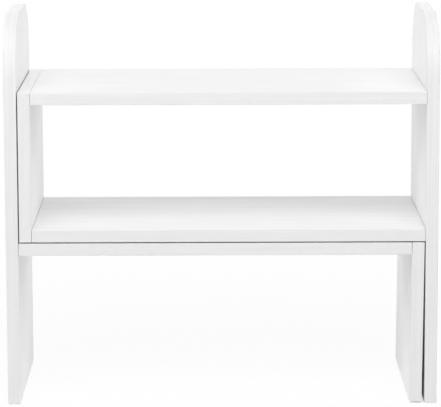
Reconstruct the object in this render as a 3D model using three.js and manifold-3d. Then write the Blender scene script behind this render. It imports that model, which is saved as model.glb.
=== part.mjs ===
// An expandable desktop bookshelf: two open frames of white boards, one nested in the other.
// The fixed frame has the left side panel, the lower shelf and a short right leg.
// The sliding frame has a short left upright, the top and middle shelves and the right
// side panel. It rides on the lower shelf and pulls out to the right.
// Millimetres. X runs along the shelves, Y from front to back and Z up. The origin is on
// the desk, under the middle of the closed bookshelf.
import * as THREE from "three";
import { mergeVertices } from "three/addons/utils/BufferGeometryUtils.js";
import Module from "manifold-3d";

// Boards
const boardThickness = 12;
const boardDepth = 200;
const closedWidth = 420;
const panelHeight = 380;
const panelTopRadius = 58;
const arrisRadius = 0.7;
const lowerShelfHeight = 159.6;
const topShelfHeight = 307;
const legToeIn = 1.6;

// Room between the boards
const seamGap = 0.3;
const sideClearance = 1.1;
const slideClearance = 0.2;

// Screws: a countersunk head with a six-sided socket, sunk below the cap
const screwLength = 35;
const screwRadius = 1.75;
const screwHeadRadius = 3.5;
const screwHeadHeight = 2.2;
const screwPointLength = 5;
const screwPointRadius = 0.6;
const socketRadius = 1.5;
const socketDepth = 1.6;
const screwInset = 37;

// Caps over the screw heads
const capRadius = 4.2;
const capThickness = 1.4;
const capChamfer = 0.3;

// Dowels
const dowelRadius = 3;
const dowelLength = 25;
const dowelDepthInSide = 8;
const dowelChamfer = 0.8;
const dowelSpacing = 52;

// Felt pads
const glidePadThickness = 1;
const footPadThickness = 0.8;
const padLength = 30;
const padMargin = 1.5;
const padInset = 10;

// Room around everything that sits in a bore, and how far a cutter runs past a face
const fit = 0.15;
const overrun = 1;

// Smoothness of round shapes, in steps
const panelCornerSteps = 12;
const arrisSteps = 2;
const boreSides = 16;
const fastenerSides = 16;
const socketSides = 6;

// Places that follow from the sizes
const halfWidth = closedWidth / 2;
const shelfLength = closedWidth - 3 * boardThickness - sideClearance;
const leftPanelX = -halfWidth;
const lowerShelfX = leftPanelX + boardThickness;
const rightLegX = lowerShelfX + shelfLength;
const leftUprightX = lowerShelfX + sideClearance;
const upperShelfX = leftUprightX + boardThickness;
const rightPanelX = upperShelfX + shelfLength;
const lowerShelfBottom = lowerShelfHeight - boardThickness;
const middleShelfBottom = lowerShelfHeight + slideClearance + glidePadThickness;
const topShelfBottom = topShelfHeight - boardThickness;
const frontY = -boardDepth / 2;

const wasm = await Module();
wasm.setup();

const materials = {
  board: new THREE.MeshStandardMaterial({ color: 0xf2f2f0, roughness: 0.45, metalness: 0 }),
  screw: new THREE.MeshStandardMaterial({ color: 0xb4b6b8, roughness: 0.35, metalness: 1 }),
  cap: new THREE.MeshStandardMaterial({ color: 0xf0f0ee, roughness: 0.4, metalness: 0 }),
  dowel: new THREE.MeshStandardMaterial({ color: 0xcda873, roughness: 0.7, metalness: 0 }),
  felt: new THREE.MeshStandardMaterial({ color: 0xd9d8d4, roughness: 1, metalness: 0 }),
};

const solidFrom = (geometry) => {
  const bare = geometry.clone();
  bare.deleteAttribute("normal");
  bare.deleteAttribute("uv");
  const merged = mergeVertices(bare);
  return new wasm.Manifold(
    new wasm.Mesh({
      numProp: 3,
      vertProperties: merged.attributes.position.array,
      triVerts: new Uint32Array(merged.index.array),
    }),
  );
};

const geometryFrom = (solid) => {
  const mesh = solid.getMesh();
  const geometry = new THREE.BufferGeometry();
  geometry.setAttribute("position", new THREE.BufferAttribute(mesh.vertProperties, 3));
  geometry.setIndex(new THREE.BufferAttribute(mesh.triVerts, 1));
  geometry.computeVertexNormals();
  return geometry;
};

const named = (name, geometry, material) => {
  const mesh = new THREE.Mesh(geometry, material);
  mesh.name = name;
  return mesh;
};

// A board is an outline drawn flat and given its thickness, with every arris rounded.
const boardFrom = (outline) =>
  new THREE.ExtrudeGeometry(outline, {
    depth: boardThickness - 2 * arrisRadius,
    bevelEnabled: true,
    bevelThickness: arrisRadius,
    bevelSize: arrisRadius,
    bevelOffset: -arrisRadius,
    bevelSegments: arrisSteps,
    curveSegments: panelCornerSteps,
  }).translate(0, 0, arrisRadius);

const rectangle = (width, height) => {
  const outline = new THREE.Shape();
  outline.moveTo(0, 0);
  outline.lineTo(width, 0);
  outline.lineTo(width, height);
  outline.lineTo(0, height);
  outline.closePath();
  return outline;
};

const roundTopped = (width, height, radius) => {
  const outline = new THREE.Shape();
  outline.moveTo(0, 0);
  outline.lineTo(width, 0);
  outline.lineTo(width, height - radius);
  outline.absarc(width - radius, height - radius, radius, 0, Math.PI / 2);
  outline.lineTo(radius, height);
  outline.absarc(radius, height - radius, radius, Math.PI / 2, Math.PI);
  outline.closePath();
  return outline;
};

// Turns a drawn board upright: its width runs along Y, its height along Z, its thickness along X.
const uprightTurn = new THREE.Matrix4().makeBasis(
  new THREE.Vector3(0, 1, 0),
  new THREE.Vector3(0, 0, 1),
  new THREE.Vector3(1, 0, 0),
);

const uprightBoard = (outline) => boardFrom(outline).applyMatrix4(uprightTurn);

const sidePanelBoard = () => uprightBoard(roundTopped(boardDepth, panelHeight, panelTopRadius));

const shelfBoard = () => boardFrom(rectangle(shelfLength - 2 * seamGap, boardDepth));

// The short leg leans: its foot is set in from where it meets the lower shelf's underside.
const legBoard = () => {
  const legBelowShelf = lowerShelfBottom - footPadThickness;
  const lean = new THREE.Matrix4().makeShear(0, 0, 0, 0, legToeIn / legBelowShelf, 0);
  return uprightBoard(rectangle(boardDepth, legBelowShelf + boardThickness))
    .translate(0, 0, -legBelowShelf)
    .applyMatrix4(lean)
    .translate(0, 0, legBelowShelf);
};

// A solid of revolution about Z from (radius, height) pairs that start and end on the axis.
const turned = (profile, sides) =>
  new THREE.LatheGeometry(
    profile.map(([radius, height]) => new THREE.Vector2(radius, height)),
    sides,
  ).rotateX(Math.PI / 2);

// Fasteners are drawn along Z, from the side board's outer face at zero into the shelf.
const screwSeat = capThickness + fit;
const screwTip = screwSeat + screwLength;
const dowelStart = boardThickness - dowelDepthInSide;

const screwGeometry = () => {
  const body = turned(
    [
      [0, screwSeat],
      [screwHeadRadius, screwSeat],
      [screwRadius, screwSeat + screwHeadHeight],
      [screwRadius, screwTip - screwPointLength],
      [screwPointRadius, screwTip],
      [0, screwTip],
    ],
    fastenerSides,
  );
  const socket = turned(
    [
      [0, screwSeat - overrun],
      [socketRadius, screwSeat - overrun],
      [socketRadius, screwSeat + socketDepth],
      [0, screwSeat + socketDepth],
    ],
    socketSides,
  );
  return geometryFrom(solidFrom(body).subtract(solidFrom(socket)));
};

const capGeometry = () =>
  turned(
    [
      [0, 0],
      [capRadius - capChamfer, 0],
      [capRadius, capChamfer],
      [capRadius, capThickness],
      [0, capThickness],
    ],
    fastenerSides,
  );

const dowelGeometry = () =>
  turned(
    [
      [0, dowelStart],
      [dowelRadius - dowelChamfer, dowelStart],
      [dowelRadius, dowelStart + dowelChamfer],
      [dowelRadius, dowelStart + dowelLength - dowelChamfer],
      [dowelRadius - dowelChamfer, dowelStart + dowelLength],
      [0, dowelStart + dowelLength],
    ],
    fastenerSides,
  );

const screwBore = () =>
  turned(
    [
      [0, -overrun],
      [capRadius + fit, -overrun],
      [capRadius + fit, screwSeat],
      [screwHeadRadius + fit, screwSeat],
      [screwRadius + fit, screwSeat + screwHeadHeight],
      [screwRadius + fit, screwTip + fit],
      [0, screwTip + fit],
    ],
    boreSides,
  );

const dowelBore = () =>
  turned(
    [
      [0, dowelStart - fit],
      [dowelRadius + fit, dowelStart - fit],
      [dowelRadius + fit, dowelStart + dowelLength + fit],
      [0, dowelStart + dowelLength + fit],
    ],
    boreSides,
  );

// The six places where a side board meets the end of a shelf. The outer face is where the
// screws go in, and inwards is the way they point along X.
const corners = {
  lower_left: { outerFace: leftPanelX, inwards: 1, shelfBottom: lowerShelfBottom },
  lower_right: { outerFace: rightLegX + boardThickness, inwards: -1, shelfBottom: lowerShelfBottom },
  middle_left: { outerFace: leftUprightX, inwards: 1, shelfBottom: middleShelfBottom },
  middle_right: { outerFace: rightPanelX + boardThickness, inwards: -1, shelfBottom: middleShelfBottom },
  top_left: { outerFace: leftUprightX, inwards: 1, shelfBottom: topShelfBottom },
  top_right: { outerFace: rightPanelX + boardThickness, inwards: -1, shelfBottom: topShelfBottom },
};

const screwRows = { front: frontY + screwInset, rear: -frontY - screwInset };
const dowelRows = { front: -dowelSpacing / 2, rear: dowelSpacing / 2 };

// Turns what is drawn along Z to point inwards along X, at the middle of the shelf's thickness.
const cornerPlace = (corner) =>
  new THREE.Matrix4()
    .makeRotationY((corner.inwards * Math.PI) / 2)
    .setPosition(corner.outerFace, 0, corner.shelfBottom + boardThickness / 2);

const boresAt = (corner) => [
  ...Object.values(screwRows).map((y) => screwBore().translate(0, y, 0)),
  ...Object.values(dowelRows).map((y) => dowelBore().translate(0, y, 0)),
].map((bore) => bore.applyMatrix4(cornerPlace(corner)));

// A board is drawn at its own origin, drilled for the corners that it is part of, and put in place.
const board = (name, geometry, place, cornerNames) => {
  let solid = solidFrom(geometry);
  for (const cornerName of cornerNames) {
    for (const bore of boresAt(corners[cornerName])) {
      solid = solid.subtract(solidFrom(bore.translate(-place.x, -place.y, -place.z)));
    }
  }
  const mesh = named(name, geometryFrom(solid), materials.board);
  mesh.position.copy(place);
  return mesh;
};

const shelf = (name, leftFace, bottom, cornerNames) =>
  board(name, shelfBoard(), new THREE.Vector3(leftFace + seamGap, frontY, bottom), cornerNames);

// The two screws with their caps and the two dowels of one corner.
const fasteners = (cornerName) => {
  const group = new THREE.Group();
  for (const [row, y] of Object.entries(screwRows)) {
    const screw = named(`screw_${cornerName}_${row}`, screwGeometry(), materials.screw);
    const cap = named(`cap_${cornerName}_${row}`, capGeometry(), materials.cap);
    screw.position.y = y;
    cap.position.y = y;
    group.add(screw, cap);
  }
  for (const [row, y] of Object.entries(dowelRows)) {
    const dowel = named(`dowel_${cornerName}_${row}`, dowelGeometry(), materials.dowel);
    dowel.position.y = y;
    group.add(dowel);
  }
  group.applyMatrix4(cornerPlace(corners[cornerName]));
  return group;
};

// Two felt pads under an upright board, one near the front and one near the back.
const padPair = (name, boardX, boardBottom, thickness) => {
  const group = new THREE.Group();
  const width = boardThickness - 2 * padMargin;
  const reach = boardDepth / 2 - padInset - padLength / 2;
  for (const [row, y] of Object.entries({ front: -reach, rear: reach })) {
    const pad = named(`${name}_${row}`, new THREE.BoxGeometry(width, padLength, thickness), materials.felt);
    pad.position.y = y;
    group.add(pad);
  }
  group.position.set(boardX + boardThickness / 2, 0, boardBottom - thickness / 2);
  return group;
};

const fixedFrame = () => {
  const panelPlace = new THREE.Vector3(leftPanelX, frontY, 0);
  const legPlace = new THREE.Vector3(rightLegX, frontY, footPadThickness);
  const frame = new THREE.Group();
  frame.add(board("left_side_panel", sidePanelBoard(), panelPlace, ["lower_left"]));
  frame.add(shelf("lower_shelf", lowerShelfX, lowerShelfBottom, ["lower_left", "lower_right"]));
  frame.add(board("right_leg", legBoard(), legPlace, ["lower_right"]));
  frame.add(padPair("foot_pad", rightLegX - legToeIn, footPadThickness, footPadThickness));
  frame.add(fasteners("lower_left"));
  frame.add(fasteners("lower_right"));
  return frame;
};

const slidingFrame = () => {
  const upright = uprightBoard(rectangle(boardDepth, topShelfHeight - middleShelfBottom));
  const uprightPlace = new THREE.Vector3(leftUprightX, frontY, middleShelfBottom);
  const panelPlace = new THREE.Vector3(rightPanelX, frontY, 0);
  const frame = new THREE.Group();
  frame.add(board("left_upright", upright, uprightPlace, ["middle_left", "top_left"]));
  frame.add(shelf("middle_shelf", upperShelfX, middleShelfBottom, ["middle_left", "middle_right"]));
  frame.add(shelf("top_shelf", upperShelfX, topShelfBottom, ["top_left", "top_right"]));
  frame.add(board("right_side_panel", sidePanelBoard(), panelPlace, ["middle_right", "top_right"]));
  frame.add(padPair("glide_pad", leftUprightX, middleShelfBottom, glidePadThickness));
  for (const cornerName of ["middle_left", "middle_right", "top_left", "top_right"]) {
    frame.add(fasteners(cornerName));
  }
  return frame;
};

const bookshelf = new THREE.Group();
bookshelf.add(fixedFrame());
bookshelf.add(slidingFrame());

export default bookshelf;
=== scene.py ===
"""The looks of a stretching desktop bookshelf in white painted board.

Two nested frames of boards stand on a pale floor. The boards, screw caps, screws, dowels
and felt pads are built here round the places of the CAD nodes that they replace. Metres,
with X along the shelves, Y from front to back and Z up.
"""

import math

import bmesh
import bpy
from mathutils import Matrix, Vector


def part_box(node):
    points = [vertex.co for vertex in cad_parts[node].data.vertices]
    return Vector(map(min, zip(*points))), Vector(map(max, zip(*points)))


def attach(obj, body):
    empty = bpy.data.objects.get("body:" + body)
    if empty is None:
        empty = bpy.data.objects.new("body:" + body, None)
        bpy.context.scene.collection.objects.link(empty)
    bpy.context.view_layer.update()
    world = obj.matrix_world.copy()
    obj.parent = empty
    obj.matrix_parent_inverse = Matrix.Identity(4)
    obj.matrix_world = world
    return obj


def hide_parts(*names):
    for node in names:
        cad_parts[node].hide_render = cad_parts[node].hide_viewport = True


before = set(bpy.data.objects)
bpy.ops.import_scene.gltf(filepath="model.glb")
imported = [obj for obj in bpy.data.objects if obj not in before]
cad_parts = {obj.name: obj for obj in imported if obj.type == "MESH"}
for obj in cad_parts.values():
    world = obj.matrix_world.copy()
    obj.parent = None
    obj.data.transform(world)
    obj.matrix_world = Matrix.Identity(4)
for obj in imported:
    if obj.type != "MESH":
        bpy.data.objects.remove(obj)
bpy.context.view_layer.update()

# Boards
PANEL_TOP_RADIUS = 0.058
PANEL_CORNER_STEPS = 40
ARRIS = 0.0007
END_ARRIS = 0.0003
ARRIS_STEPS = 5
LEG_TOE_IN = 0.0016
SHARP_ANGLE = math.radians(35)

# A face whose normal has a larger share than this along X is a board's broad side
BROAD_SIDE = 0.5

# Bores, as they are drilled in the CAD
FIT = 0.00015
OVERRUN = 0.001
SCREW_HEAD_HEIGHT = 0.0022
SCREW_RADIUS = 0.00175
BORE_SIDES = 48

# Caps: the middle of the face stands a crown's height above its rim
CAP_CROWN = 0.00018
CAP_RINGS = (0.0, 0.4, 0.7, 1.0)
CAP_RIM = 0.00025
CAP_SIDES = 64

# Screws
SHANK_RADIUS = 0.00155
CORE_RADIUS = 0.0012
POINT_RADIUS = 0.0004
POINT_LENGTH = 0.004
HEAD_LAND = 0.0003
THREAD_START = 0.011
THREAD_PITCH = 0.0016
THREAD_ROOT_WIDTH = 0.0009
THREAD_CREST_WIDTH = 0.0002
THREAD_BURIED = 0.0002
THREAD_TURN_STEPS = 24
SOCKET_RADIUS = 0.0015
SOCKET_DEPTH = 0.0016
SOCKET_SIDES = 6
SCREW_SIDES = 48
SCREW_EASE = 0.0001
SCREW_EASE_STEPS = 2

# Dowels
DOWEL_CHAMFER = 0.0008
FLUTES = 16
FLUTE_DEPTH = 0.0003
SIDES_A_FLUTE = 4

# Felt pads
PAD_CORNER = 0.0018
PAD_CORNER_STEPS = 8
PAD_EDGE = 0.00022
PAD_EDGE_STEPS = 4

# Two points nearer than this are one
TOUCH = 1e-6

# The camera, as it stood before the bookshelf
CAMERA_PLACE = (-0.010954, -2.669812, 0.627654)
CAMERA_SENSOR = 36.0
CAMERA_LENS = 219.588
CAMERA_PITCH = 0.165383
CAMERA_YAW = 0.003725
CAMERA_ROLL = -0.002756

# The floor. Close to the bookshelf this share of it is seen as plain white, and from the
# shadow's reach to the clear reach the share rises to all of it. Right beside a foot an occlusion
# mask lowers it, which paints contact shade over the floor's real shadow there.
FLOOR_SIZE = 12.0
FLOOR_DROP = 0.0001
FLOOR_WHITE_SHARE = 0.92
SHADOW_REACH = 0.4
CLEAR_REACH = 1.2
CONTACT_SHADE_SHARE = 0.2
CONTACT_REACH = 0.005
CONTACT_OPEN = 0.6
CONTACT_SAMPLES = 8

# The light from all round, and each lamp's place, size and power. All face the middle
AMBIENT = 0.25
MIDDLE = (0, 0, 0.2)
LAMPS = {
    "overhead_softbox": ((0, -0.8, 1.4), (1.8, 0.9), 7.8),
    "front_softbox": ((0, -1.4, 1.5), (2.0, 0.9), 12.9),
    "front_left_softbox": ((-1.3, -1.3, 1.3), (1.2, 1.0), 3.2),
    "high_back_softbox": ((0, 0.9, 1.5), (1.8, 0.9), 2.6),
    "back_softbox": ((0, 1.6, 1.1), (1.8, 1.0), 4.5),
    "back_left_softbox": ((-2.2, 1.6, 0.6), (1.6, 1.2), 21.9),
    "back_right_softbox": ((2.2, 1.6, 0.6), (1.6, 1.2), 24.1),
}


# Finishes


def grey(value):
    return (value, value, value, 1)


WHITE = grey(1)
FLOOR_COLOUR = grey(0.95)

# White paint, with its clouds, its brush streaks and its rubbed arrises
PAINT_TONES = grey(0.88), grey(0.905)
PAINT_STREAK = grey(0.84)
PAINT_RUBBED = (0.90, 0.90, 0.89, 1)
PAINT_ROUGHNESS = (0.56, 0.68)
PAINT_IOR = 1.45
STREAK_SHARE = 0.9
RUBBED_SHARE = 0.4
STREAK_HEIGHT = 0.00008
PEEL_HEIGHT = 0.00002
ALONG_SHELF = (5.0, 260.0, 420.0)
ALONG_UPRIGHT = (420.0, 260.0, 5.0)
ALONG_EDGE = (420.0, 30.0, 5.0)

# The bare fibre of a bore
FIBRE_TONES = (0.42, 0.30, 0.19, 1), (0.56, 0.43, 0.29, 1)
FIBRE_ROUGHNESS = 0.9
FIBRE_HEIGHT = 0.00015

# Cap plastic
CAP_TONES = (0.82, 0.82, 0.815, 1), (0.86, 0.86, 0.855, 1)
CAP_ROUGHNESS = (0.42, 0.55)
CAP_IOR = 1.49
MOULD_HEIGHT = 0.00002

# Zinc plating
ZINC_TONES = (0.56, 0.57, 0.58, 1), (0.66, 0.67, 0.68, 1)
ZINC_ROUGHNESS = (0.24, 0.42)
ROUND_THE_SHANK = (4000.0, 60.0, 60.0)
MARK_HEIGHT = 0.00001

# Bare beech
BEECH_TONES = (0.56, 0.38, 0.21, 1), (0.70, 0.50, 0.31, 1)
BEECH_FLECK = (0.36, 0.21, 0.10, 1)
BEECH_ROUGHNESS = 0.62
FLECK_SHARE = 0.6
ALONG_DOWEL = (60.0, 900.0, 900.0)
ALONG_FLECK = (250.0, 1800.0, 1800.0)
BEECH_HEIGHT = 0.00006

# Felt
FELT_TONES = (0.60, 0.59, 0.56, 1), (0.74, 0.73, 0.70, 1)
FELT_MATTED = (0.52, 0.51, 0.48, 1)
MATTED_SHARE = 0.3
FELT_HEIGHT = 0.00015
FELT_SHEEN = 0.3
FELT_SHEEN_ROUGHNESS = 0.5


class Nodes:
    """A node tree in the making: each call adds a node, with its sockets set or linked."""

    def __init__(self, tree):
        self.tree = tree
        self.tree.nodes.clear()

    def add(self, kind, sockets=None, **settings):
        made = self.tree.nodes.new(kind)
        for setting, value in settings.items():
            setattr(made, setting, value)
        for socket, value in (sockets or {}).items():
            if isinstance(value, bpy.types.NodeSocket):
                self.tree.links.new(value, made.inputs[socket])
            else:
                made.inputs[socket].default_value = value
        return made

    def calculate(self, operation, first, second):
        made = self.add("ShaderNodeMath", {0: first, 1: second}, operation=operation)
        return made.outputs[0]

    def seen(self):
        """One for what the camera, mirrors and glass see, and zero for light that falls."""
        path = self.add("ShaderNodeLightPath").outputs
        mirrored = self.calculate("MAXIMUM", path["Is Glossy Ray"], path["Is Transmission Ray"])
        return self.calculate("MAXIMUM", path["Is Camera Ray"], mirrored)


class Finish(Nodes):
    """A material in the making."""

    def __init__(self, name):
        self.material = bpy.data.materials.new(name)
        self.material.use_nodes = True
        super().__init__(self.material.node_tree)

    def place(self):
        return self.add("ShaderNodeTexCoord").outputs["Object"]

    def stretched(self, place, scale):
        """The place with a scale of its own on each axis, for a pattern that runs along one."""
        return self.add("ShaderNodeMapping", {"Vector": place, "Scale": scale}).outputs["Vector"]

    def noise(self, place, scale, detail=3.0, roughness=0.55):
        return self.add(
            "ShaderNodeTexNoise",
            {"Vector": place, "Scale": scale, "Detail": detail, "Roughness": roughness},
        ).outputs["Fac"]

    def spread(self, value, low, high, to_low=0.0, to_high=1.0):
        """Stretches the part of value between low and high over to_low to to_high."""
        sockets = {"Value": value, "From Min": low, "From Max": high}
        sockets.update({"To Min": to_low, "To Max": to_high})
        return self.add("ShaderNodeMapRange", sockets).outputs["Result"]

    def times(self, first, second):
        return self.calculate("MULTIPLY", first, second)

    def blend(self, share, first, second):
        """The first colour where share is 0 and the second where it is 1."""
        return self.add(
            "ShaderNodeMix", {0: share, 6: first, 7: second}, data_type="RGBA"
        ).outputs[2]

    def bump(self, height, distance, under=None):
        sockets = {"Height": height, "Distance": distance, "Strength": 1.0}
        if under:
            sockets["Normal"] = under
        return self.add("ShaderNodeBump", sockets).outputs["Normal"]

    def surface(self, **sockets):
        named = {name.replace("_", " "): value for name, value in sockets.items()}
        shader = self.add("ShaderNodeBsdfPrincipled", named)
        self.add("ShaderNodeOutputMaterial", {"Surface": shader.outputs["BSDF"]})
        return self.material


def painted_board(name, grain_scale):
    """White satin paint over board. The grain scale is low along the board and high across it."""
    f = Finish(name)
    place = f.place()
    grain = f.noise(f.stretched(place, grain_scale), scale=1.0, detail=5.0, roughness=0.6)
    cloud = f.noise(place, scale=14.0, detail=2.0)
    peel = f.noise(place, scale=900.0, detail=2.0)
    wear = f.noise(place, scale=160.0, detail=4.0)
    arris = f.add("ShaderNodeAttribute", attribute_name="arris").outputs["Fac"]
    rubbed = f.times(arris, f.spread(wear, 0.5, 0.66))
    shade = f.blend(f.spread(cloud, 0.3, 0.7), *PAINT_TONES)
    streaked = f.blend(f.spread(grain, 0.36, 0.64, 0.0, STREAK_SHARE), shade, PAINT_STREAK)
    colour = f.blend(f.times(rubbed, RUBBED_SHARE), streaked, PAINT_RUBBED)
    gloss = f.spread(grain, 0.3, 0.7, *PAINT_ROUGHNESS)
    relief = f.bump(peel, PEEL_HEIGHT, f.bump(grain, STREAK_HEIGHT))
    return f.surface(Base_Color=colour, Roughness=gloss, Normal=relief, IOR=PAINT_IOR)


def raw_board():
    """The bare fibre of a drilled bore."""
    f = Finish("raw_board")
    fibre = f.noise(f.place(), scale=700.0, detail=5.0, roughness=0.7)
    colour = f.blend(f.spread(fibre, 0.35, 0.65), *FIBRE_TONES)
    relief = f.bump(fibre, FIBRE_HEIGHT)
    return f.surface(Base_Color=colour, Roughness=FIBRE_ROUGHNESS, Normal=relief)


def cap_plastic():
    """White matt plastic with the fine grain of its mould."""
    f = Finish("white_cap_plastic")
    place = f.place()
    mould = f.noise(place, scale=2600.0, detail=2.0)
    tone = f.noise(place, scale=90.0, detail=2.0)
    colour = f.blend(f.spread(tone, 0.3, 0.7), *CAP_TONES)
    gloss = f.spread(mould, 0.3, 0.7, *CAP_ROUGHNESS)
    relief = f.bump(mould, MOULD_HEIGHT)
    return f.surface(Base_Color=colour, Roughness=gloss, Normal=relief, IOR=CAP_IOR)


def screw_steel():
    """Zinc plating, with the turned marks of the shank and a little dulling."""
    f = Finish("zinc_plated_steel")
    place = f.place()
    marks = f.noise(f.stretched(place, ROUND_THE_SHANK), scale=1.0, detail=3.0)
    dull = f.noise(place, scale=240.0, detail=3.0)
    colour = f.blend(f.spread(dull, 0.35, 0.65), *ZINC_TONES)
    gloss = f.spread(dull, 0.3, 0.7, *ZINC_ROUGHNESS)
    relief = f.bump(marks, MARK_HEIGHT)
    return f.surface(Base_Color=colour, Metallic=1.0, Roughness=gloss, Normal=relief)


def dowel_wood():
    """Bare beech, its grain and short dark flecks along the dowel."""
    f = Finish("bare_beech")
    place = f.place()
    grain = f.noise(f.stretched(place, ALONG_DOWEL), scale=1.0, detail=5.0, roughness=0.6)
    flecks = f.noise(f.stretched(place, ALONG_FLECK), scale=1.0, detail=2.0)
    wood = f.blend(f.spread(grain, 0.3, 0.7), *BEECH_TONES)
    fleck_share = f.times(f.spread(flecks, 0.6, 0.72), FLECK_SHARE)
    colour = f.blend(fleck_share, wood, BEECH_FLECK)
    relief = f.bump(grain, BEECH_HEIGHT)
    return f.surface(Base_Color=colour, Roughness=BEECH_ROUGHNESS, Normal=relief)


def felt():
    """Pressed felt: matted fibres with a dull sheen."""
    f = Finish("pressed_felt")
    place = f.place()
    fibres = f.noise(place, scale=1500.0, detail=6.0, roughness=0.75)
    mats = f.noise(place, scale=300.0, detail=3.0)
    tone = f.blend(f.spread(fibres, 0.3, 0.7), *FELT_TONES)
    colour = f.blend(f.spread(mats, 0.4, 0.6, 0.0, MATTED_SHARE), tone, FELT_MATTED)
    return f.surface(
        Base_Color=colour,
        Roughness=1.0,
        Normal=f.bump(fibres, FELT_HEIGHT),
        Sheen_Weight=FELT_SHEEN,
        Sheen_Roughness=FELT_SHEEN_ROUGHNESS,
    )


FINISHES = {
    "shelf": painted_board("white_paint_shelf", ALONG_SHELF),
    "upright": painted_board("white_paint_upright", ALONG_UPRIGHT),
    "edge": painted_board("white_paint_edge", ALONG_EDGE),
    "raw": raw_board(),
    "cap": cap_plastic(),
    "screw": screw_steel(),
    "dowel": dowel_wood(),
    "felt": felt(),
}


# Shapes


def flat_face(corners):
    """A face through its corners, to be thickened."""
    bm = bmesh.new()
    bm.faces.new([bm.verts.new(corner) for corner in corners])
    return bm


def upright_face(low, high):
    places = [(low.y, low.z), (high.y, low.z), (high.y, high.z), (low.y, high.z)]
    return flat_face([(low.x, y, z) for y, z in places])


def shelf_face(low, high):
    places = [(low.x, low.y), (high.x, low.y), (high.x, high.y), (low.x, high.y)]
    return flat_face([(x, y, low.z) for x, y in places])


def bevel(bm, parts, width, steps, affect):
    """Rounds these edges or corners. Only edges are kept from running into each other."""
    return bmesh.ops.bevel(
        bm,
        geom=parts,
        offset=width,
        offset_type="OFFSET",
        segments=steps,
        profile=0.5,
        affect=affect,
        clamp_overlap=affect == "EDGES",
        material=-1,
    )


def round_top_corners(bm, radius):
    top = max(v.co.z for v in bm.verts)
    corners = [v for v in bm.verts if v.co.z > top - TOUCH]
    bevel(bm, corners, radius, PANEL_CORNER_STEPS, "VERTICES")


def thicken(bm, thickness):
    raised = bmesh.ops.extrude_face_region(bm, geom=bm.faces[:])["geom"]
    verts = [part for part in raised if isinstance(part, bmesh.types.BMVert)]
    bmesh.ops.translate(bm, verts=verts, vec=thickness)
    bmesh.ops.recalc_face_normals(bm, faces=bm.faces[:])


def sharp_edges(bm):
    return [e for e in bm.edges if e.calc_face_angle() > SHARP_ANGLE]


def along_x(edge):
    ends = [v.co for v in edge.verts]
    return abs(ends[0].x - ends[1].x) > TOUCH


def round_arrises(bm, edges, width, steps):
    """Rounds these edges, and marks the rounded faces for the paint's wear."""
    mark = bm.faces.layers.float.get("arris") or bm.faces.layers.float.new("arris")
    for face in bevel(bm, edges, width, steps, "EDGES")["faces"]:
        face[mark] = 1.0


def turned(profile, sides):
    """A closed solid turned about X, from (distance, radius) pairs, both ends on the axis."""
    bm = bmesh.new()
    verts = [bm.verts.new((distance, radius, 0.0)) for distance, radius in profile]
    edges = [bm.edges.new(pair) for pair in zip(verts, verts[1:])]
    bmesh.ops.spin(
        bm,
        geom=verts + edges,
        cent=(0, 0, 0),
        axis=(1, 0, 0),
        angle=math.tau,
        steps=sides,
        use_merge=True,
    )
    bmesh.ops.remove_doubles(bm, verts=bm.verts[:], dist=TOUCH)
    bmesh.ops.recalc_face_normals(bm, faces=bm.faces[:])
    return bm


def shaded(mesh):
    """Smooth over round parts and sharp at real edges."""
    bm = bmesh.new()
    bm.from_mesh(mesh)
    for face in bm.faces:
        face.smooth = True
    for edge in bm.edges:
        edge.smooth = edge.calc_face_angle(math.pi) < SHARP_ANGLE
    bm.to_mesh(mesh)
    bm.free()


def new_object(name, bm, materials):
    mesh = bpy.data.meshes.new(name)
    bm.to_mesh(mesh)
    bm.free()
    for material in materials:
        mesh.materials.append(material)
    obj = bpy.data.objects.new(name, mesh)
    bpy.context.scene.collection.objects.link(obj)
    return obj


def cut(obj, tool, operation):
    """Joins a tool to a piece or takes it out, and leaves the tool's finish on what it made."""
    change = obj.modifiers.new("cut", "BOOLEAN")
    change.operation = operation
    change.solver = "EXACT"
    change.material_mode = "TRANSFER"
    change.object = tool
    seen = bpy.context.evaluated_depsgraph_get()
    changed = bpy.data.meshes.new_from_object(obj.evaluated_get(seen))
    obj.modifiers.clear()
    obj.data = changed
    bpy.data.objects.remove(tool)


def finished(obj, body, node):
    """Shades a piece, seats it on its body and lets it stand for its CAD node."""
    shaded(obj.data)
    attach(obj, body)
    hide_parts(node)


# Places of the fasteners, from their CAD nodes


ROWS = ("front", "rear")
CORNERS = {
    "lower_left": ("left_side_panel", "lower_shelf", 1),
    "lower_right": ("right_leg", "lower_shelf", -1),
    "middle_left": ("left_upright", "middle_shelf", 1),
    "middle_right": ("right_side_panel", "middle_shelf", -1),
    "top_left": ("left_upright", "top_shelf", 1),
    "top_right": ("right_side_panel", "top_shelf", -1),
}


def place_of(node, inwards):
    """Turns what is drawn along X from zero to run inwards from the node's outer end."""
    low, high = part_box(node)
    middle = (low + high) / 2
    outer_end = low.x if inwards > 0 else high.x
    turn = Matrix.Diagonal((inwards, inwards, 1, 1))
    return Matrix.Translation((outer_end, middle.y, middle.z)) @ turn


def length_and_radius(node):
    low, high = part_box(node)
    return high.x - low.x, (high.z - low.z) / 2


def screw_bore(corner, row):
    """The recess for the cap, the countersink and the hole for the shank, as one cutter."""
    inwards = CORNERS[corner][2]
    cap, screw = f"cap_{corner}_{row}", f"screw_{corner}_{row}"
    cap_length, cap_radius = length_and_radius(cap)
    screw_length, head_radius = length_and_radius(screw)
    seat = cap_length + FIT
    bm = turned(
        [
            (-OVERRUN, 0.0),
            (-OVERRUN, cap_radius + FIT),
            (seat, cap_radius + FIT),
            (seat, head_radius + FIT),
            (seat + SCREW_HEAD_HEIGHT, SCREW_RADIUS + FIT),
            (seat + screw_length + FIT, SCREW_RADIUS + FIT),
            (seat + screw_length + FIT, 0.0),
        ],
        BORE_SIDES,
    )
    bmesh.ops.transform(bm, matrix=place_of(cap, inwards), verts=bm.verts[:])
    return bm


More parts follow.
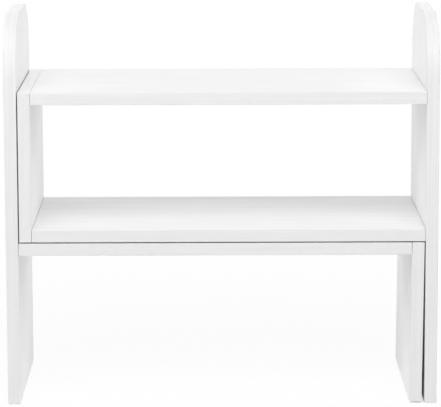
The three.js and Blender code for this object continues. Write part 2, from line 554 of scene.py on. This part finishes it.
def dowel_bore(corner, row):
    inwards = CORNERS[corner][2]
    dowel = f"dowel_{corner}_{row}"
    length, radius = length_and_radius(dowel)
    bm = turned(
        [(-FIT, 0.0), (-FIT, radius + FIT), (length + FIT, radius + FIT), (length + FIT, 0.0)],
        BORE_SIDES,
    )
    bmesh.ops.transform(bm, matrix=place_of(dowel, inwards), verts=bm.verts[:])
    return bm


def bores_of(node):
    """All the bores that reach into a board, as one cutter."""
    cutter = bmesh.new()
    for corner, (side_node, shelf_node, _) in CORNERS.items():
        if node not in (side_node, shelf_node):
            continue
        for row in ROWS:
            for bore in (screw_bore(corner, row), dowel_bore(corner, row)):
                mesh = bpy.data.meshes.new("bore")
                bore.to_mesh(mesh)
                bore.free()
                cutter.from_mesh(mesh)
                bpy.data.meshes.remove(mesh)
    return new_object("bores", cutter, [FINISHES["raw"]])


# The boards


def board(node, body, bm, finishes):
    obj = new_object("white_" + node, bm, [FINISHES[finish] for finish in finishes])
    cut(obj, bores_of(node), "DIFFERENCE")
    finished(obj, body, node)
    flat = obj.modifiers.new("flat faces stay flat", "WEIGHTED_NORMAL")
    flat.keep_sharp = True


def shelf(node, body):
    """A shelf's long arrises are rounded. Its ends, against the side boards, are nearly square."""
    low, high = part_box(node)
    bm = shelf_face(low, high)
    thicken(bm, Vector((0, 0, high.z - low.z)))
    round_arrises(bm, [e for e in bm.edges if along_x(e)], ARRIS, ARRIS_STEPS)
    round_arrises(bm, sharp_edges(bm), END_ARRIS, ARRIS_STEPS)
    board(node, body, bm, ["shelf"])


def upright(node, body, bm):
    """An upright's brush marks run up its sides, and along its edge all the way round."""
    for face in bm.faces:
        if abs(face.normal.x) < BROAD_SIDE:
            face.material_index = 1
    round_arrises(bm, sharp_edges(bm), ARRIS, ARRIS_STEPS)
    board(node, body, bm, ["upright", "edge"])


def plain_upright(node, body):
    low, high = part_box(node)
    bm = upright_face(low, high)
    thicken(bm, Vector((high.x - low.x, 0, 0)))
    upright(node, body, bm)


def round_topped_panel(node, body):
    low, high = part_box(node)
    bm = upright_face(low, high)
    round_top_corners(bm, PANEL_TOP_RADIUS)
    thicken(bm, Vector((high.x - low.x, 0, 0)))
    upright(node, body, bm)


def leaning_leg(node, body, shelf_node):
    """The short leg leans: its foot is set in from where it meets the shelf's underside."""
    low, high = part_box(node)
    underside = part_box(shelf_node)[0].z
    slope = LEG_TOE_IN / (underside - low.z)
    straight_low = Vector((low.x + LEG_TOE_IN, low.y, low.z))
    straight_high = Vector((high.x - slope * (high.z - underside), high.y, high.z))
    bm = upright_face(straight_low, straight_high)
    thicken(bm, Vector((straight_high.x - straight_low.x, 0, 0)))
    lean = Matrix.Identity(4)
    lean[0][2] = slope
    lean[0][3] = -slope * underside
    bmesh.ops.transform(bm, matrix=lean, verts=bm.verts[:])
    bmesh.ops.recalc_face_normals(bm, faces=bm.faces[:])
    upright(node, body, bm)


round_topped_panel("left_side_panel", "fixed_frame")
shelf("lower_shelf", "fixed_frame")
leaning_leg("right_leg", "fixed_frame", "lower_shelf")
plain_upright("left_upright", "sliding_frame")
shelf("middle_shelf", "sliding_frame")
shelf("top_shelf", "sliding_frame")
round_topped_panel("right_side_panel", "sliding_frame")


# Caps, screws and dowels, each drawn along X from zero and inwards


def crowned_cap(length, radius):
    """A moulded cap: its face is slightly crowned and its rim is rounded."""
    face = [(CAP_CROWN * share**2, radius * share) for share in CAP_RINGS]
    bm = turned(face + [(length, radius), (length, 0.0)], CAP_SIDES)
    round_arrises(bm, sharp_edges(bm), CAP_RIM, ARRIS_STEPS)
    return new_object("cap", bm, [FINISHES["cap"]])


def screw_body(length, radius):
    """The countersunk head, the smooth shank and the core that the thread winds round."""
    bm = turned(
        [
            (0.0, 0.0),
            (0.0, radius),
            (HEAD_LAND, radius),
            (SCREW_HEAD_HEIGHT, SHANK_RADIUS),
            (THREAD_START, SHANK_RADIUS),
            (THREAD_START + SHANK_RADIUS - CORE_RADIUS, CORE_RADIUS),
            (length - POINT_LENGTH, CORE_RADIUS),
            (length - POINT_RADIUS, POINT_RADIUS),
            (length, 0.0),
        ],
        SCREW_SIDES,
    )
    head_end = HEAD_LAND + TOUCH
    head_rims = [e for e in sharp_edges(bm) if max(v.co.x for v in e.verts) < head_end]
    round_arrises(bm, head_rims, SCREW_EASE, SCREW_EASE_STEPS)
    return new_object("screw", bm, [FINISHES["screw"]])


def screw_thread(length):
    """One ridge wound round the core, which fades out into it at both ends."""
    start, end = THREAD_START, length - POINT_LENGTH
    turns = (end - start) / THREAD_PITCH
    root, crest = THREAD_ROOT_WIDTH / 2, THREAD_CREST_WIDTH / 2
    buried = CORE_RADIUS - THREAD_BURIED
    section = [(-root, buried), (-crest, SCREW_RADIUS), (crest, SCREW_RADIUS), (root, buried)]
    bm = flat_face([(start + x, radius, 0.0) for x, radius in section])
    steps = round(turns * THREAD_TURN_STEPS)
    bmesh.ops.spin(
        bm,
        geom=bm.faces[:],
        cent=(0, 0, 0),
        axis=(1, 0, 0),
        angle=turns * math.tau,
        steps=steps,
        dvec=((end - start) / steps, 0, 0),
        use_duplicate=False,
    )
    bmesh.ops.recalc_face_normals(bm, faces=bm.faces[:])
    return new_object("thread", bm, [FINISHES["screw"]])


def socket():
    bm = bmesh.new()
    bmesh.ops.create_cone(
        bm,
        cap_ends=True,
        segments=SOCKET_SIDES,
        radius1=SOCKET_RADIUS,
        radius2=SOCKET_RADIUS,
        depth=2 * SOCKET_DEPTH,
    )
    bmesh.ops.rotate(bm, verts=bm.verts[:], matrix=Matrix.Rotation(math.pi / 2, 3, "Y"))
    return new_object("socket", bm, [FINISHES["screw"]])


def countersunk_screw(length, radius):
    """A screw with its thread and socket. The slivers where they meet are dissolved."""
    obj = screw_body(length, radius)
    cut(obj, screw_thread(length), "UNION")
    cut(obj, socket(), "DIFFERENCE")
    bm = bmesh.new()
    bm.from_mesh(obj.data)
    bmesh.ops.dissolve_degenerate(bm, dist=TOUCH, edges=bm.edges[:])
    bm.to_mesh(obj.data)
    bm.free()
    return obj


def fluted_dowel(length, radius):
    """A dowel with chamfered ends and glue flutes along it."""
    bm = turned(
        [
            (0.0, 0.0),
            (0.0, radius - DOWEL_CHAMFER),
            (DOWEL_CHAMFER, radius),
            (length - DOWEL_CHAMFER, radius),
            (length, radius - DOWEL_CHAMFER),
            (length, 0.0),
        ],
        FLUTES * SIDES_A_FLUTE,
    )
    step = math.tau / FLUTES
    for vert in bm.verts:
        turn = math.atan2(vert.co.z, vert.co.y) / step
        on_wall = vert.co.yz.length > radius - TOUCH
        if on_wall and abs(turn - round(turn)) < TOUCH:
            vert.co.yz *= 1 - FLUTE_DEPTH / radius
    return new_object("dowel", bm, [FINISHES["dowel"]])


FASTENERS = {
    "cap": (crowned_cap, "cap_plastic"),
    "screw": (countersunk_screw, "screw_steel"),
    "dowel": (fluted_dowel, "dowel_wood"),
}


def set_fasteners():
    """Makes one of each kind and sets a copy of it at each of its nodes."""
    for kind, (make, slot) in FASTENERS.items():
        pattern = make(*length_and_radius(f"{kind}_lower_left_front"))
        for corner, (_, _, inwards) in CORNERS.items():
            body = "fixed_frame" if corner.startswith("lower") else "sliding_frame"
            for row in ROWS:
                node = f"{kind}_{corner}_{row}"
                bm = bmesh.new()
                bm.from_mesh(pattern.data)
                bmesh.ops.transform(bm, matrix=place_of(node, inwards), verts=bm.verts[:])
                piece = new_object(f"{slot}_{corner}_{row}", bm, [FINISHES[kind]])
                finished(piece, body, node)
        bpy.data.objects.remove(pattern)


def felt_pad(node, body):
    """A stamped pad with rounded corners and soft edges."""
    low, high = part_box(node)
    bm = shelf_face(low, high)
    bevel(bm, bm.verts[:], PAD_CORNER, PAD_CORNER_STEPS, "VERTICES")
    thicken(bm, Vector((0, 0, high.z - low.z)))
    round_arrises(bm, sharp_edges(bm), PAD_EDGE, PAD_EDGE_STEPS)
    finished(new_object("felt_" + node, bm, [FINISHES["felt"]]), body, node)


set_fasteners()
for pad_row in ROWS:
    felt_pad(f"foot_pad_{pad_row}", "fixed_frame")
    felt_pad(f"glide_pad_{pad_row}", "sliding_frame")


# Camera, floor and light


def make_camera():
    data = bpy.data.cameras.new("camera")
    data.sensor_width = CAMERA_SENSOR
    data.lens = CAMERA_LENS
    camera = bpy.data.objects.new("camera", data)
    bpy.context.scene.collection.objects.link(camera)
    camera.matrix_world = (
        Matrix.Translation(CAMERA_PLACE)
        @ Matrix.Rotation(-CAMERA_YAW, 4, "Z")
        @ Matrix.Rotation(math.pi / 2 - CAMERA_PITCH, 4, "X")
        @ Matrix.Rotation(CAMERA_ROLL, 4, "Z")
    )
    bpy.context.scene.camera = camera


def make_floor():
    """A pale floor that the camera and reflections see as nearly white, with its shadow kept."""
    f = Finish("floor")
    lit = f.add("ShaderNodeBsdfDiffuse", {"Color": FLOOR_COLOUR}).outputs["BSDF"]
    white = f.add("ShaderNodeEmission", {"Color": WHITE, "Strength": 1.0}).outputs["Emission"]
    away = f.add("ShaderNodeVectorMath", {0: f.place()}, operation="LENGTH").outputs["Value"]
    clear = f.spread(away, SHADOW_REACH, CLEAR_REACH, FLOOR_WHITE_SHARE, 1.0)
    # Painted contact shade: where the occlusion mask finds the floor enclosed beside a foot, the
    # white is taken away and the floor darkens over its real shadow.
    near = f.add(
        "ShaderNodeAmbientOcclusion", {"Distance": CONTACT_REACH}, samples=CONTACT_SAMPLES
    )
    contact_shade_mask = f.spread(near.outputs["AO"], 0.0, CONTACT_OPEN, CONTACT_SHADE_SHARE, 1.0)
    share = f.times(f.times(f.seen(), clear), contact_shade_mask)
    mixed = f.add("ShaderNodeMixShader", {0: share, 1: lit, 2: white}).outputs["Shader"]
    f.add("ShaderNodeOutputMaterial", {"Surface": mixed})
    bm = bmesh.new()
    bmesh.ops.create_grid(bm, x_segments=1, y_segments=1, size=FLOOR_SIZE)
    bmesh.ops.translate(bm, verts=bm.verts[:], vec=(0, 0, -FLOOR_DROP))
    floor = new_object("floor", bm, [f.material])


def make_world():
    """Soft light from all round, which the camera, mirrors and glass see as plain white."""
    world = bpy.data.worlds.new("studio")
    bpy.context.scene.world = world
    world.use_nodes = True
    n = Nodes(world.node_tree)
    ambient = n.add("ShaderNodeBackground", {"Color": WHITE, "Strength": AMBIENT}).outputs[0]
    white = n.add("ShaderNodeBackground", {"Color": WHITE, "Strength": 1.0}).outputs[0]
    mixed = n.add("ShaderNodeMixShader", {0: n.seen(), 1: ambient, 2: white}).outputs[0]
    n.add("ShaderNodeOutputWorld", {"Surface": mixed})


def soft_light(name, place, size, power):
    data = bpy.data.lights.new(name, "AREA")
    data.shape = "RECTANGLE"
    data.size, data.size_y = size
    data.energy = power
    lamp = bpy.data.objects.new(name, data)
    bpy.context.scene.collection.objects.link(lamp)
    lamp.location = place
    lamp.rotation_mode = "QUATERNION"
    lamp.rotation_quaternion = (Vector(MIDDLE) - Vector(place)).to_track_quat("-Z", "Y")


make_camera()
make_floor()
make_world()
for lamp_name, (lamp_place, lamp_size, lamp_power) in LAMPS.items():
    soft_light(lamp_name, lamp_place, lamp_size, lamp_power)

view = bpy.context.scene.view_settings
view.view_transform = "Standard"
